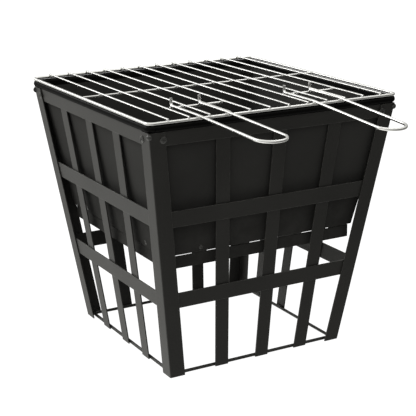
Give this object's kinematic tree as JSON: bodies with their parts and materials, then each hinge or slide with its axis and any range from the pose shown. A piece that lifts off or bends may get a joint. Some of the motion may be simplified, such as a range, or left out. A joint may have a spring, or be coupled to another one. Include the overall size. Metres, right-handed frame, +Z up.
{
  "type": "fire pit with grate",
  "caption": "Square garden fire pit: slatted steel shell tapering to the ground, sheet-steel firebox with rolled rim, loose floor plate and lift-off wire grate with two long handles.",
  "frame": {"origin": "on the ground, at the middle of the shell", "axes": "+X to the right along the front, +Y to the back with the grate's handles pointing to -Y, +Z up"},
  "size_m": [0.34, 0.476, 0.3382],
  "materials": {
    "black_steel": "satin black heat-resistant powder coat",
    "firebox_steel": "matt black heat-resistant coat",
    "black_screws": "black zinc, semi-gloss",
    "bright_wire": "bright chrome-plated round wire"
  },
  "bodies": {
    "shell": {"base_bar_back": "black_steel", "base_bar_front": "black_steel", "base_bar_left": "black_steel", "base_bar_right": "black_steel", "corner_bolts": "black_screws", "corner_caps": "black_screws", "corner_nuts": "black_screws", "corner_post_back_left": "black_steel", "corner_post_back_right": "black_steel", "corner_post_front_left": "black_steel", "corner_post_front_right": "black_steel", "firebox_wall_back": "firebox_steel", "firebox_wall_front": "firebox_steel", "firebox_wall_left": "firebox_steel", "firebox_wall_right": "firebox_steel", "floor_band": "firebox_steel", "lower_rail_back": "black_steel", "lower_rail_front": "black_steel", "lower_rail_left": "black_steel", "lower_rail_right": "black_steel", "middle_rail_back": "black_steel", "middle_rail_front": "black_steel", "middle_rail_left": "black_steel", "middle_rail_right": "black_steel", "slat_back_left": "black_steel", "slat_back_middle": "black_steel", "slat_back_right": "black_steel", "slat_front_left": "black_steel", "slat_front_middle": "black_steel", "slat_front_right": "black_steel", "slat_left_left": "black_steel", "slat_left_middle": "black_steel", "slat_left_right": "black_steel", "slat_right_left": "black_steel", "slat_right_middle": "black_steel", "slat_right_right": "black_steel", "tab_bolts": "black_screws", "tab_nuts": "black_screws", "top_rail_back": "black_steel", "top_rail_front": "black_steel", "top_rail_left": "black_steel", "top_rail_right": "black_steel"},
    "floor": {"floor_plate": "firebox_steel"},
    "grate": {"cross_wire": "bright_wire", "grate_bar_01": "bright_wire", "grate_bar_02": "bright_wire", "grate_bar_03": "bright_wire", "grate_bar_04": "bright_wire", "grate_bar_05": "bright_wire", "grate_bar_06": "bright_wire", "grate_bar_07": "bright_wire", "grate_bar_08": "bright_wire", "grate_bar_09": "bright_wire", "grate_bar_10": "bright_wire", "grate_bar_11": "bright_wire", "grate_bar_12": "bright_wire", "grate_rim": "bright_wire", "handle_braces": "bright_wire", "handle_left": "bright_wire", "handle_right": "bright_wire"}
  },
  "joints": [
    {"name": "grate_lift", "type": "slide", "parent": "shell", "child": "grate", "axis": [0, 0, 1], "range_m": [0, 0.15]},
    {"name": "floor_lift", "type": "slide", "parent": "shell", "child": "floor", "axis": [0, 0, 1], "range_m": [0, 0.15]}
  ]
}
